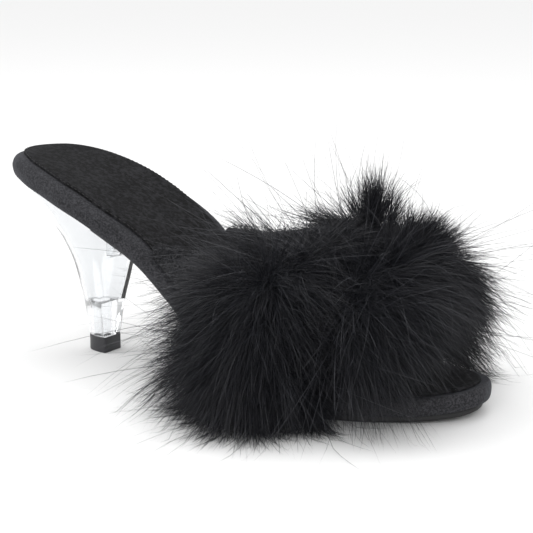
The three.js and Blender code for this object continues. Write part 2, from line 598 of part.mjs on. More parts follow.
function featherTrim() {
  const plumes = FANS.flatMap((fan) => Array.from({ length: fan.plumes }, (_, i) => plume(fan, i)));
  const joined = [...PUFFS.map(puff), ...plumes].reduce((whole, part) => whole.add(part));
  return toGeometry(joined.trimByPlane([0, 0, 1], FLOOR_CLEARANCE).subtract(keepOut()));
}

function piece(name, geometry, color, roughness) {
  const material = new THREE.MeshStandardMaterial({ color, roughness, metalness: 0 });
  const mesh = new THREE.Mesh(geometry, material);
  mesh.name = name;
  return mesh;
}

const group = new THREE.Group();
group.add(
  piece('outsole', outsole(), 0x0c0c0d, 0.6),
  piece('footbed', footbed(), 0x101012, 0.85),
  piece('sock', sock(), 0x131315, 0.9),
  piece('heel', heel(), 0xf4f7f8, 0.05),
  piece('heel_tip', heelTip(), 0x0b0b0c, 0.5),
  piece('vamp', vamp(), 0x101012, 0.85),
  piece('feather_trim', featherTrim(), 0x08080a, 0.7),
);

export default group;
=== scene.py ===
import math

import bmesh
import bpy
import numpy as np
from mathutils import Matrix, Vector


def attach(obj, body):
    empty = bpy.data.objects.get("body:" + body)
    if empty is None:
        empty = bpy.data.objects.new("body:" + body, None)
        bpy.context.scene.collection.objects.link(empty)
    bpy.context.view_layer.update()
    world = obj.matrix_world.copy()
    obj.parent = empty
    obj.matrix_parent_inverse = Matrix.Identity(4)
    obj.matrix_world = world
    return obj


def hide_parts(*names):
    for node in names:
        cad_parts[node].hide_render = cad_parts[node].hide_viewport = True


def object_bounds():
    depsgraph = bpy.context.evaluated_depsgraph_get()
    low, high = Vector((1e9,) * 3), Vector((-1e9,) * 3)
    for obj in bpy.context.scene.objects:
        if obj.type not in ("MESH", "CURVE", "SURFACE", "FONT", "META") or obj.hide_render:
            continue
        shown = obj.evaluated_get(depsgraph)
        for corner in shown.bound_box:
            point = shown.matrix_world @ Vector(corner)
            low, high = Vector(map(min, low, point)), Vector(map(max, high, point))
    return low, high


# A heeled mule in black fabric on a clear heel, with a deep feather trim. Shapes are worked out in
# millimetres, in the frame's own axes, and turned to metres when a mesh is made.
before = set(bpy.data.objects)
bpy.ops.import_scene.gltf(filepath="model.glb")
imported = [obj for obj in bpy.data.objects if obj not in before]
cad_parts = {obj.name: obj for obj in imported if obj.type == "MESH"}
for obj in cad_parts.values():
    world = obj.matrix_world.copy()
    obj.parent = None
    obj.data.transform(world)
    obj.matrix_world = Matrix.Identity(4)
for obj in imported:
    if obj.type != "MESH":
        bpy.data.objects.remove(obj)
cad_box = [list(corner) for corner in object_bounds()]
MM = 0.001
rng = np.random.default_rng(11)

# Camera
TARGET = np.array([89.33, 0.0, 49.23])
AZIMUTH, ELEVATION = math.radians(33.0), math.radians(12.53)
DISTANCE = 661.77
FOCAL_PIXELS = 1573.81
FRAME_PIXELS = 533
SENSOR = 36.0


def make_camera():
    data = bpy.data.cameras.new("camera")
    data.sensor_width = SENSOR
    data.lens = SENSOR * FOCAL_PIXELS / FRAME_PIXELS
    data.clip_start, data.clip_end = 0.01, 20
    camera = bpy.data.objects.new("camera", data)
    bpy.context.scene.collection.objects.link(camera)
    level = math.cos(ELEVATION)
    back = np.array([level * math.sin(AZIMUTH), -level * math.cos(AZIMUTH), math.sin(ELEVATION)])
    camera.location = Vector((TARGET + back * DISTANCE) * MM)
    camera.rotation_euler = Vector(-back).to_track_quat("-Z", "Y").to_euler()
    bpy.context.scene.camera = camera


make_camera()

# The shoe's sizes, as in its CAD
SOLE_LENGTH = 234.5
HEEL_OVERHANG = 43
BALL_WIDTH = 79.5
WAIST_WIDTH = 61
SEAT_WIDTH = 65.3
SEAT_RISE = 75.2
TOE_SPRING = 3.5
SEAT_PAD = 10.8
BALL_PAD = 5.7
TOE_PAD = 7.3
EDGE_ROLL = 4.6
EDGE_TUCK = 2.8
CUP_DEPTH = 1.4
OUTSOLE_THICKNESS = 3
OUTSOLE_STEP = 3.2
OUTSOLE_ROUND = 1.8
SOCK_THICKNESS = 1.3
SOCK_MARGIN = 0.7
SOCK_TAPER = 22
SOCK_CLEARANCE = 6
TIP_LENGTH = 12.6
TIP_WIDTH = 11.8
TIP_HEIGHT = 7
TIP_PLUG_RADIUS = 2.7
PLUG_CLEARANCE = 0.3
HEEL_WALL = 2.3
HEEL_FLOOR = 23.5
BREAST_REACH = 18
SEAT_MARGIN = 2.2
BOSS_RADIUS = 3.6
BOSS_BORE_RADIUS = 1.4
BOSS_LENGTH = 23
VAMP_WALL = 2
RIM_MARGIN = 0.4
TOE_OPENING = 28.5
RIM_SETBACK = 34.5
VAMP_LENGTH = 42
WING_LENGTH = 107
INSTEP_HEIGHT = 70
VAMP_FULLNESS = 2.3
COLLAR_SWEEP = 2.2
GAP = 0.3

BALL_BED = OUTSOLE_THICKNESS + GAP
BACK_X = -HEEL_OVERHANG
TOE_X = BACK_X + SOLE_LENGTH
TOE_CROWN_X = TOE_X - TOE_OPENING
TOE_RIM_X = TOE_X - RIM_SETBACK
COLLAR_CROWN_X = TOE_CROWN_X - VAMP_LENGTH
COLLAR_WING_X = TOE_RIM_X - WING_LENGTH

# The sole's plan: its two sides, as shares of the seat's, the waist's or the ball's width.
OUTLINE = """
along near  far   of
0     0     0     seat
0.04  0.29  0.3   seat
0.115 0.435 0.453 seat
0.215 0.495 0.505 seat
0.29  0.522 0.538 waist
0.36  0.507 0.523 waist
0.425 0.508 0.49  waist
0.49  0.546 0.47  waist
0.55  0.462 0.38  ball
0.61  0.496 0.423 ball
0.7   0.516 0.484 ball
0.8   0.46  0.48  ball
0.9   0.338 0.377 ball
0.965 0.204 0.245 ball
1     0     0     ball
"""
WIDTHS = {"seat": SEAT_WIDTH, "waist": WAIST_WIDTH, "ball": BALL_WIDTH}

# The footbed's padding, as shares of its height at the seat, the ball or the toe.
PADDING = """
along share of
0     1     seat
0.05  1     seat
0.115 1     seat
0.215 1     seat
0.29  0.98  seat
0.36  0.96  seat
0.425 0.86  seat
0.49  0.75  seat
0.55  1.33  ball
0.61  1.22  ball
0.66  1.12  ball
0.7   1.05  ball
0.8   1     ball
0.9   0.88  toe
0.965 0.98  toe
1     1     toe
"""
PADS = {"seat": SEAT_PAD, "ball": BALL_PAD, "toe": TOE_PAD}

# Shares of EDGE_ROLL, SEAT_RISE, TOE_SPRING and OUTSOLE_THICKNESS along the sole.
PROFILE = """
along roll rise  spring tread
0     1    1     0      0.4
0.05  1    0.996 0      0.4
0.115 0.92 0.957 0      0.4
0.215 0.8  0.855 0      0.4
0.29  0.72 0.748 0      0.45
0.36  0.65 0.628 0      0.55
0.425 0.6  0.469 0      0.8
0.49  0.55 0.29  0      0.95
0.55  0.48 0.163 0      1
0.61  0.43 0.066 0      1
0.66  0.4  0.01  0      1
0.7   0.4  0     0      1
0.8   0.38 0     0      1
0.9   0.32 0     0.17   1
0.965 0.27 0     0.52   1
1     0.25 0     1      1
"""

# The band's section: how far it is rolled in at the top and tucked in below, down its height.
EDGE = """
depth roll tuck
0     1    0
0.1   0.42 0
0.27  0.12 0
0.47  0    0
0.72  0    0.15
0.91  0    0.5
1     0    1
"""

# How the heel grows from its tip to the seat: its half width, its breast and its back.
HEEL = """
up   half  breast back
0    0     0      0
0.1  0.045 0.036  0.027
0.18 0.085 0.06   0.055
0.26 0.152 0.09   0.082
0.34 0.23  0.13   0.112
0.44 0.315 0.18   0.165
0.52 0.395 0.24   0.235
0.6  0.5   0.34   0.33
0.68 0.634 0.49   0.453
0.76 0.77  0.67   0.592
0.84 0.9   0.82   0.745
0.92 0.98  0.94   0.925
1    1     1      1
"""

# The vamp's crown along the sole, as shares of INSTEP_HEIGHT.
CROWN = """
along height
0.38  1.12
0.5   1.1
0.61  1.05
0.69  1
0.76  0.92
0.82  0.79
0.885 0.62
0.96  0.47
"""


def smooth(xs, ys):
    """A smooth curve through points that never swings past them (monotone cubic)."""
    xs, ys = np.asarray(xs, float), np.asarray(ys, float)
    rise = np.diff(ys) / np.diff(xs)
    before, after = rise[:-1], rise[1:]
    total = np.where(before + after == 0, 1, before + after)
    inner = np.where(before * after > 0, 2 * before * after / total, 0)
    slope = np.concatenate([rise[:1], inner, rise[-1:]])

    def read(x):
        x = np.clip(np.asarray(x, float), xs[0], xs[-1])
        i = np.clip(np.searchsorted(xs, x, side="left") - 1, 0, len(xs) - 2)
        step = xs[i + 1] - xs[i]
        t = (x - xs[i]) / step
        start = (1 + 2 * t) * (1 - t) ** 2 * ys[i] + t * (1 - t) ** 2 * step * slope[i]
        return start + t * t * (3 - 2 * t) * ys[i + 1] + t * t * (t - 1) * step * slope[i + 1]

    return read


def rows_of(text):
    """A table's rows, each by the names in its head."""
    head, *rows = [line.split() for line in text.strip().splitlines()]
    return [dict(zip(head, row)) for row in rows]


def columns(text):
    """A table's columns as smooth curves over its first column."""
    head, *rows = [line.split() for line in text.strip().splitlines()]
    data = np.array(rows, float)
    return {name: smooth(data[:, 0], data[:, i]) for i, name in enumerate(head)}


def sized(text, column, sizes):
    """Places along the sole, and there a column's shares of the sizes that its rows name."""
    rows = rows_of(text)
    along = np.array([float(row["along"]) for row in rows])
    return along, np.array([float(row[column]) * sizes[row["of"]] for row in rows])


def mix(a, b, t):
    return a + (b - a) * t


def turn_of(along):
    return np.arccos(1 - 2 * np.clip(along, 0, 1)) / math.pi


def along_of(turn):
    return (1 - np.cos(math.pi * turn)) / 2


def share_at(x):
    return np.clip((np.asarray(x, float) - BACK_X) / SOLE_LENGTH, 0, 1)


def half_width(side):
    along, half = sized(OUTLINE, side, WIDTHS)
    return smooth(turn_of(along), half)


near_half, far_half = half_width("near"), half_width("far")
padding = smooth(*sized(PADDING, "share", PADS))
profile, edge, heel_growth, crown = columns(PROFILE), columns(EDGE), columns(HEEL), columns(CROWN)


def bed_height(x):
    share = share_at(x)
    return BALL_BED + SEAT_RISE * profile["rise"](share) + TOE_SPRING * profile["spring"](share)


def top_height(x):
    return bed_height(x) + padding(share_at(x))


def plan_point(turn, side, inset):
    """Points of the sole's plan outline, moved in by inset."""
    half = near_half if side < 0 else far_half
    step = 1e-3
    x, y = BACK_X + SOLE_LENGTH * along_of(turn), side * half(turn)
    low, high = np.clip(turn - step, 0, 1), np.clip(turn + step, 0, 1)
    dx = SOLE_LENGTH * (along_of(high) - along_of(low))
    dx = np.where((turn <= 0) | (turn >= 1), 0, dx)
    dy = side * (half(high) - half(low))
    length = np.hypot(dx, dy)
    return x + side * dy * inset / length, y - side * dx * inset / length


def sole_loop(inset, height, start=0.0, steps=170):
    """A loop round the sole: out along the near side and back along the far one."""
    turn = mix(start, 1, np.linspace(0, 1, steps + 1))
    sides = []
    for side in (-1, 1):
        x, y = plan_point(turn, side, inset(along_of(turn)))
        sides.append(np.stack([x, y, height(x)], 1))
    return np.concatenate([sides[0], sides[1][::-1]])


def loft(loops, rungs=24, sags=(None, None), caps=(True, True)):
    """Vertices and faces of a closed skin over loops, closed at both ends by sagging rungs."""
    loops = [np.asarray(loop) for loop in loops]
    size, count = len(loops[0]), len(loops)
    verts = [np.concatenate(loops)]
    total = size * count
    low = (np.arange(count - 1)[:, None] * size + np.arange(size)).ravel()
    after = (np.arange(count - 1)[:, None] * size + (np.arange(size) + 1) % size).ravel()
    faces = [np.stack([low, after, after + size, low + size], 1)]
    for end, sag in enumerate(sags):
        if not caps[end]:
            continue
        loop = loops[-end]
        start = end * (count - 1) * size
        half = size // 2
        a, b = loop[:half], loop[::-1][:half]
        width = np.linalg.norm(a - b, axis=1)
        share = np.arange(1, rungs) / rungs
        inner = mix(a[:, None], b[:, None], share[None, :, None])
        if sag is not None:
            inner[..., 2] -= 4 * share * (1 - share) * sag(width)[:, None]
        index = np.empty((half, rungs + 1), int)
        index[:, 0] = start + np.arange(half)
        index[:, -1] = start + size - 1 - np.arange(half)
        index[:, 1:-1] = total + np.arange(half * (rungs - 1)).reshape(half, -1)
        verts.append(inner.reshape(-1, 3))
        total += half * (rungs - 1)
        one, two = (index[1:], index[:-1]) if end == 0 else (index[:-1], index[1:])
        quads = np.stack([one[:, :-1], two[:, :-1], two[:, 1:], one[:, 1:]], -1)
        faces.append(quads.reshape(-1, 4))
    return np.concatenate(verts), np.concatenate(faces)


def link(name, mesh, material):
    obj = bpy.data.objects.new(name, mesh)
    bpy.context.scene.collection.objects.link(obj)
    mesh.materials.append(material)
    return obj


def solid(name, verts, faces, material, sharp=40.0):
    """A mesh object in metres from millimetre vertices, welded, facing out and smoothly shaded."""
    mesh = bpy.data.meshes.new(name)
    mesh.from_pydata((np.asarray(verts) * MM).tolist(), [], np.asarray(faces).tolist())
    finish_mesh(mesh, sharp)
    return link(name, mesh, material)


def finish_mesh(mesh, sharp):
    work = bmesh.new()
    work.from_mesh(mesh)
    bmesh.ops.remove_doubles(work, verts=work.verts, dist=2e-6)
    bmesh.ops.dissolve_degenerate(work, edges=work.edges, dist=1e-7)
    bmesh.ops.recalc_face_normals(work, faces=work.faces)
    limit = math.radians(sharp)
    for face in work.faces:
        face.smooth = True
    for rim in work.edges:
        rim.smooth = len(rim.link_faces) != 2 or rim.calc_face_angle() < limit
    work.to_mesh(mesh)
    work.free()


# Materials

# Where most of a noise's values lie, and where those of the cloths' and the feathers' tones do
NOISE_SPAN = (0.3, 0.7)
CLOTH_SPAN = (0.42, 0.59)
FEATHER_SPAN = (0.3, 0.72)

# Cloth: the weave's and the blotches' scale, and the parts of speckle, weave and blotches in its tone
WEAVE_SCALE = 700
BLOTCH_SCALE = 60
CLOTH_MIX = (0.8, 0.06, 0.14)
WEAVE_RELIEF = 0.4
COOL_SHEEN = (0.8, 0.85, 1, 1)
FEATHER_SHEEN = (0.75, 0.82, 1, 1)
CLEAR_TINT = (0.89, 0.9, 0.91, 1)


class Nodes:
    """A node material, built by short calls."""

    def __init__(self, name):
        self.material = bpy.data.materials.new(name)
        self.material.use_nodes = True
        self.tree = self.material.node_tree
        self.shader = next(n for n in self.tree.nodes if n.type == "BSDF_PRINCIPLED")
        self.place = self.add("ShaderNodeTexCoord").outputs["Object"]

    def add(self, kind, links=(), **values):
        node = self.tree.nodes.new(kind)
        for key, value in values.items():
            setattr(node, key, value)
        for socket, source in dict(links).items():
            if hasattr(source, "is_output"):
                self.tree.links.new(source, node.inputs[socket])
            else:
                node.inputs[socket].default_value = source
        return node

    def set(self, **values):
        for name, value in values.items():
            socket = self.shader.inputs[name.replace("_", " ")]
            if hasattr(value, "is_output"):
                self.tree.links.new(value, socket)
            else:
                socket.default_value = value

    def noise(self, scale, detail, rough):
        links = {"Vector": self.place, "Scale": scale, "Detail": detail, "Roughness": rough}
        return self.add("ShaderNodeTexNoise", links).outputs["Fac"]

    def ramp(self, source, low, high):
        """A number that runs from low to high as a noise runs over its span."""
        start, end = NOISE_SPAN
        node = self.add("ShaderNodeMapRange", {"Value": source, "From Min": start, "From Max": end,
                                               "To Min": low, "To Max": high})
        return node.outputs["Result"]

    def tone(self, source, dark, light, span=NOISE_SPAN):
        """A colour that runs from dark to light as source runs over the span."""
        node = self.add("ShaderNodeValToRGB", {"Fac": source})
        stops = node.color_ramp.elements
        stops[0].position, stops[1].position = span
        stops[0].color, stops[1].color = (*dark, 1), (*light, 1)
        return node.outputs["Color"]

    def math(self, operation, a, b):
        return self.add("ShaderNodeMath", {0: a, 1: b}, operation=operation).outputs["Value"]

    def bump(self, height, distance, strength):
        links = {"Height": height, "Distance": distance, "Strength": strength}
        return self.add("ShaderNodeBump", links).outputs["Normal"]


def fabric(name, dark, light, speckle, relief, rough, sheen):
    """Matt woven cloth with a short nap: a fine crossed weave under soft blotches."""
    m = Nodes(name)
    weave = [m.add("ShaderNodeTexWave", {"Vector": m.place, "Scale": WEAVE_SCALE, "Distortion": 1.2,
                                         "Detail": 1.0, "Detail Scale": 2.0},
                   bands_direction=axis).outputs["Fac"] for axis in ("DIAGONAL", "X")]
    cross = m.math("MULTIPLY", weave[0], weave[1])
    fine = m.noise(speckle, 3, 0.7)
    soft = m.noise(BLOTCH_SCALE, 3, 0.5)
    parts = [m.math("MULTIPLY", part, share) for part, share in zip((fine, cross, soft), CLOTH_MIX)]
    mixed = m.math("ADD", m.math("ADD", parts[0], parts[1]), parts[2])
    m.set(Base_Color=m.tone(mixed, dark, light, CLOTH_SPAN))
    m.set(Roughness=m.ramp(fine, rough - 0.08, rough + 0.08))
    height = m.math("ADD", m.math("MULTIPLY", cross, WEAVE_RELIEF), fine)
    m.set(Normal=m.bump(height, relief, 0.8))
    m.set(Sheen_Weight=sheen, Sheen_Roughness=0.45, Sheen_Tint=COOL_SHEEN, Specular_IOR_Level=0.16)
    return m.material


def rubber(name, dark, light, rough):
    """Dull rubber, or thread: fine grain under soft blotches."""
    m = Nodes(name)
    fine = m.noise(900, 3, 0.6)
    soft = m.noise(70, 2, 0.5)
    mixed = m.math("ADD", m.math("MULTIPLY", fine, 0.5), m.math("MULTIPLY", soft, 0.5))
    m.set(Base_Color=m.tone(mixed, dark, light))
    m.set(Roughness=m.ramp(soft, rough - 0.07, rough + 0.09), Normal=m.bump(fine, 0.00008, 0.6))
    return m.material


def clear_plastic():
    m = Nodes("clear_plastic")
    flow = m.noise(45, 2, 0.4)
    m.set(Base_Color=CLEAR_TINT, Transmission_Weight=1.0, IOR=1.47)
    m.set(Roughness=m.ramp(flow, 0.0, 0.02), Normal=m.bump(flow, 0.0004, 0.25))
    return m.material


def feather(name, dark, light, gloss):
    """Fine black down with a cool shader sheen: nearly black at the core, where its copy is painted darker
    as shade, and lighter and bluer on the single long barbs as a painted sheen.
    """
    m = Nodes(name)
    clump = m.noise(160, 4, 0.6)
    m.set(Base_Color=m.tone(clump, dark, light, FEATHER_SPAN))
    m.set(Roughness=m.ramp(clump, 0.6, 0.42), Normal=m.bump(m.noise(900, 2, 0.5), 0.00005, 0.4))
    m.set(Sheen_Weight=0.03, Sheen_Roughness=0.5, Sheen_Tint=FEATHER_SHEEN, Specular_IOR_Level=gloss)
    return m.material


WRAP = fabric("wrap_fabric", (0.011, 0.011, 0.0125), (0.045, 0.045, 0.05), 1200, 0.00016, 0.8, 0.05)
SOCK = fabric("sock_fabric", (0.0004, 0.0004, 0.0006), (0.0185, 0.0185, 0.0205), 480, 0.00032, 0.88, 0.006)
VAMP = fabric("vamp_fabric", (0.012, 0.012, 0.013), (0.058, 0.058, 0.062), 900, 0.0002, 0.84, 0.04)
THREAD = rubber("thread", (0.002, 0.002, 0.0025), (0.006, 0.006, 0.007), 0.7)
RUBBER = rubber("outsole_rubber", (0.005, 0.005, 0.0055), (0.012, 0.012, 0.013), 0.62)
TIP = rubber("tip_rubber", (0.01, 0.01, 0.012), (0.026, 0.026, 0.03), 0.42)
CLEAR = clear_plastic()
FEATHER = feather("feathers", (0.0045, 0.0045, 0.006), (0.0165, 0.0168, 0.0205), 0.32)
# The long barbs are painted lighter and bluer than the feathers: a painted sheen.
PAINTED_SHEEN_BARBS = feather("long_barbs_painted_sheen", (0.014, 0.014, 0.017), (0.05, 0.051, 0.059), 0.45)
# The core's down is painted darker than the feathers: painted shade deep in the trim.
PAINTED_SHADE_DOWN = feather("down", (0.004, 0.004, 0.005), (0.009, 0.009, 0.011), 0.08)


def belongs(obj, slot, *nodes):
    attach(obj, "root")
    if nodes:
        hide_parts(*nodes)
    return obj


# Footbed, sock and outsole


def cup(width):
    return CUP_DEPTH * np.clip(width / SEAT_WIDTH, 0, 1) ** 2


# Soft ridges (+) and troughs (-) of the wrap on the band: where each starts and ends along the sole
# and down the band, its height in millimetres and its half width down the band.
CREASES = """
start top_at end  end_at height width
0.15  0.36   0.42 0.05   0.95   0.09
0.17  0.56   0.44 0.24   -0.55  0.1
0.32  0.72   0.47 0.5    0.3    0.08
0.88  0.3    0.97 0.62   -0.14  0.08
0.78  0.55   0.9  0.45   0.12   0.07
"""
CREASE_ROWS = np.array([line.split() for line in CREASES.strip().splitlines()[1:]], float)


def crease(along, depth):
    """How far the creases raise the wrap at a place along the sole and down its band."""
    rise = np.zeros_like(along)
    for start, top_at, end, end_at, height, width in CREASE_ROWS:
        share = np.clip((along - start) / (end - start), 0, 1)
        middle = mix(top_at, end_at, share)
        rise += height * np.sin(math.pi * share) ** 0.7 * np.exp(-(((depth - middle) / width) ** 2))
    return rise


def make_footbed():
    depths = np.concatenate([[0, 0.015, 0.04], np.linspace(0.07, 1, 30)])
    loops = []
    for depth in depths:
        inward = EDGE_ROLL * edge["roll"](depth) + EDGE_TUCK * edge["tuck"](depth)
        loops.append(sole_loop(
            lambda along: profile["roll"](along) * inward - crease(along, depth),
            lambda x: top_height(x) - depth * padding(share_at(x)),
        ))
    verts, faces = loft(loops, sags=(cup, None))
    return belongs(solid("footbed_wrap", verts, faces, WRAP, 50), "wrap_fabric", "footbed")


def sock_inset(along, extra):
    """How far the sock's edge lies inside the sole's plan: it narrows to pass between the vamp's rims."""
    room = RIM_MARGIN + VAMP_WALL + 2 * GAP
    narrow_x = COLLAR_WING_X - SOCK_CLEARANCE
    narrowing = smooth(share_at([narrow_x - SOCK_TAPER, narrow_x]), [0, 1])
    return EDGE_ROLL * profile["roll"](along) + mix(SOCK_MARGIN, room, narrowing(along)) + extra


def make_sock():
    """The sock's edge is rounded over its padding."""
    loops = []
    for angle in np.linspace(0, math.pi / 2, 6)[::-1]:
        extra = SOCK_THICKNESS * (1 - math.cos(angle))
        lift = SOCK_THICKNESS * math.sin(angle)
        loops.append(sole_loop(
            lambda along: sock_inset(along, extra),
            lambda x: top_height(x) + GAP + lift,
        ))
    verts, faces = loft(loops, sags=(cup, cup))
    return belongs(solid("sock_cover", verts, faces, SOCK, 50), "sock_fabric", "sock")


# The sock's stitches: how far apart, how large, how far inside its edge, how deep in its cloth, and
# how far past the end of the vamp's wing they go
STITCH_PITCH = 2.3
STITCH_LENGTH, STITCH_WIDTH, STITCH_HEIGHT = 1.45, 0.42, 0.34
STITCH_INSET = 0.35
STITCH_BED = 0.72
STITCH_PAST_WING = 4
STITCH_ROWS = np.linspace(-0.92, 0.92, 5)


def make_stitches():
    """Small thread stitches along the sock's edge, from the heel to the vamp on both sides."""
    ring, rows = 6, len(STITCH_ROWS)
    turn_end = float(turn_of(share_at(COLLAR_WING_X + STITCH_PAST_WING)))
    verts, faces = [], []
    for side in (-1, 1):
        fine = np.linspace(0.002, turn_end, 900)
        x, y = plan_point(fine, side, sock_inset(along_of(fine), STITCH_INSET))
        z = top_height(x) + GAP + SOCK_THICKNESS * STITCH_BED
        line = np.stack([x, y, z], 1)
        run = np.concatenate([[0], np.cumsum(np.linalg.norm(np.diff(line, axis=0), axis=1))])
        for at in np.arange(1.0, run[-1] - 1, STITCH_PITCH):
            place = np.array([np.interp(at, run, line[:, k]) for k in range(3)])
            ahead = np.array([np.interp(at + 0.5, run, line[:, k]) for k in range(3)])
            along = unit(ahead - place)
            across = unit(np.cross([0, 0, 1.0], along))
            up = np.cross(along, across)
            start = sum(len(v) for v in verts)
            for row in STITCH_ROWS:
                girth = math.sqrt(1 - row * row)
                turn = 2 * math.pi * np.arange(ring) / ring
                verts.append(place + along * row * STITCH_LENGTH / 2
                             + np.outer(np.cos(turn), across) * girth * STITCH_WIDTH / 2
                             + np.outer(np.sin(turn), up) * girth * STITCH_HEIGHT / 2)
            for row in range(rows - 1):
                for k in range(ring):
                    a, b = start + row * ring + k, start + row * ring + (k + 1) % ring
                    faces.append([a, b, b + ring, a + ring])
            faces.append([start + k for k in range(ring)][::-1])
            faces.append([start + (rows - 1) * ring + k for k in range(ring)])
    mesh = bpy.data.meshes.new("sock_stitches")
    mesh.from_pydata((np.concatenate(verts) * MM).tolist(), [], faces)
    finish_mesh(mesh, 60)
    return belongs(link("sock_stitches", mesh, THREAD), "sock_fabric")


# The outsole's rounded edge: shares of OUTSOLE_ROUND inwards, and of the thickness downwards
TREAD_EDGE = ((0.3, 0), (0, 0.2), (0, 0.6), (0.12, 0.8), (0.35, 0.9), (0.65, 0.97), (1, 1))
BREAST_TRIES = 50


def make_outsole():
    """The sole ends just before the heel's breast, found by closing in on it."""
    x = 0.0
    for _ in range(BREAST_TRIES):
        x = breast_at(up_at(bed_height(x) - GAP)) + 2 * GAP
    start = float(turn_of(share_at(x)))
    loops = []
    for inset, depth in TREAD_EDGE:
        loops.append(sole_loop(
            lambda along: OUTSOLE_STEP + inset * OUTSOLE_ROUND,
            lambda x: bed_height(x) - GAP - depth * OUTSOLE_THICKNESS * profile["tread"](share_at(x)),
            start,
        ))
    verts, faces = loft(loops, rungs=12)
    return belongs(solid("outsole_tread", verts, faces, RUBBER, 50), "outsole_rubber", "outsole")


# Heel

# The heel is grown a little past the seat, and then cut by the footbed's underside.
SEAT_SPARE = 3
SEAT_TOP = BALL_BED + SEAT_RISE + SEAT_SPARE
HEEL_FOOT = TIP_HEIGHT + GAP
CORNER_CUT = 0.16
CORNER_STEPS = 6
BOSS_CLEARANCE = 0.2
BORE_SPARE = 1
TIP_BEVEL = 0.35
TIP_TOP_ROUND = (0.15, 0.2)


def breast_at(up):
    return TIP_LENGTH / 2 + BREAST_REACH * heel_growth["breast"](up)


def up_at(z):
    return (z - HEEL_FOOT) / (SEAT_TOP - HEEL_FOOT)


def height_at(up):
    return mix(HEEL_FOOT, SEAT_TOP, up)


def heel_loop(up, z, shrink=0.0, steps=26):
    half = mix(TIP_WIDTH / 2, SEAT_WIDTH / 2 - SEAT_MARGIN, heel_growth["half"](up)) - shrink
    breast = breast_at(up) - shrink
    back = -mix(TIP_LENGTH / 2, HEEL_OVERHANG - SEAT_MARGIN - GAP, heel_growth["back"](up)) + shrink
    cut = CORNER_CUT * half
    angle = (math.pi / 2) * np.linspace(0, 1, steps + 1)
    x = breast - cut - (breast - cut - back) * np.cos(angle)
    y = half * np.sin(angle)
    turn = (math.pi / 2) * np.linspace(0, 1, CORNER_STEPS + 1)[1:]
    x = np.concatenate([x, breast - cut + cut * np.sin(turn)])
    y = np.concatenate([y, half - cut + cut * np.cos(turn)])
    near = np.stack([x, -y, np.full(len(x), float(z))], 1)
    return np.concatenate([near, (near * [1, -1, 1])[::-1]])


def heel_skin(low, shrink, ceiling, rows=44):
    """The heel's skin from a height up to the footbed's underside, or up past it."""
    ups = mix(up_at(low), 1.0, np.linspace(0, 1, rows + 1))
    grid = np.array([heel_loop(up, height_at(up), shrink) for up in ups])
    if ceiling:
        grid[-1, :, 2] = SEAT_TOP + 2 * SEAT_SPARE
        return loft(list(grid), rungs=10)
    # Each column of points is read again between the heel's foot and the place where it meets the bed.
    out = []
    for column in grid.transpose(1, 0, 2):
        above = column[:, 2] - (bed_height(column[:, 0]) - GAP)
        k = int(np.argmax(above > 0)) if (above > 0).any() else len(above) - 1
        t = above[k - 1] / (above[k - 1] - above[k])
        stop = (k - 1 + t) / rows
        at = np.linspace(0, stop, rows + 1) * rows
        out.append(np.stack([np.interp(at, np.arange(rows + 1), column[:, a]) for a in range(3)], 1))
    return loft(list(np.array(out).transpose(1, 0, 2)), rungs=10)


def post(radius, low, high, x=0.0, sides=48):
    """A round upright post between two heights."""
    angle = 2 * math.pi * np.arange(sides) / sides
    ring = np.stack([x + radius * np.cos(angle), radius * np.sin(angle), np.zeros(sides)], 1)
    return loft([ring + [0, 0, low], ring + [0, 0, high]], rungs=2)


def combine(base, part, operation):
    """Joins a skin to an object, or cuts it out."""
    other = solid("part", *part, CLEAR)
    modifier = base.modifiers.new("cut", "BOOLEAN")
    modifier.operation, modifier.object, modifier.solver = operation, other, "EXACT"
    depsgraph = bpy.context.evaluated_depsgraph_get()
    mesh = bpy.data.meshes.new_from_object(base.evaluated_get(depsgraph))
    base.modifiers.clear()
    base.data = mesh
    bpy.data.objects.remove(other)


def make_heel():
    heel = solid("clear_heel", *heel_skin(HEEL_FOOT, 0.0, False), CLEAR)
    boss_x = float(breast_at(up_at(bed_height(0) - BOSS_LENGTH))) - HEEL_WALL - BOSS_RADIUS / 2
    boss_foot = float(bed_height(boss_x)) - BOSS_LENGTH
    boss_top = float(bed_height(boss_x + BOSS_RADIUS)) - GAP - BOSS_CLEARANCE
    combine(heel, heel_skin(HEEL_FLOOR, HEEL_WALL, True), "DIFFERENCE")
    combine(heel, post(BOSS_RADIUS, boss_foot, boss_top, boss_x), "UNION")
    combine(heel, post(BOSS_BORE_RADIUS, boss_foot + BOSS_RADIUS, SEAT_TOP, boss_x), "DIFFERENCE")
    combine(heel, post(TIP_PLUG_RADIUS + PLUG_CLEARANCE, 0, HEEL_FLOOR + BORE_SPARE), "DIFFERENCE")
    finish_mesh(heel.data, 35)
    return belongs(heel, "clear_plastic", "heel")


def make_tip():
    bevel, (top_in, top_down) = TIP_BEVEL, TIP_TOP_ROUND
    rows = ((bevel, 0), (bevel * 0.3, bevel * 0.3), (0, bevel),
            (0, TIP_HEIGHT - top_down), (top_in, TIP_HEIGHT))
    loops = [heel_loop(0.0, z, inset) for inset, z in rows]
    tip = solid("heel_tip_block", *loft(loops, rungs=8), TIP, 30)
    return belongs(tip, "tip_rubber", "heel_tip")


# Vamp


def vamp_section(x, offset):
    """The vamp's outer face at x, moved out: its middle and half width, its foot and its rise."""
    share = share_at(x)
    turn = turn_of(share)
    margin = EDGE_ROLL * profile["roll"](share) + RIM_MARGIN
    low, high = margin - near_half(turn), far_half(turn) - margin
    foot = top_height(x) + GAP
    rise = INSTEP_HEIGHT * crown["height"](share) - foot + offset
    return (low + high) / 2, (high - low) / 2 + offset, foot, rise


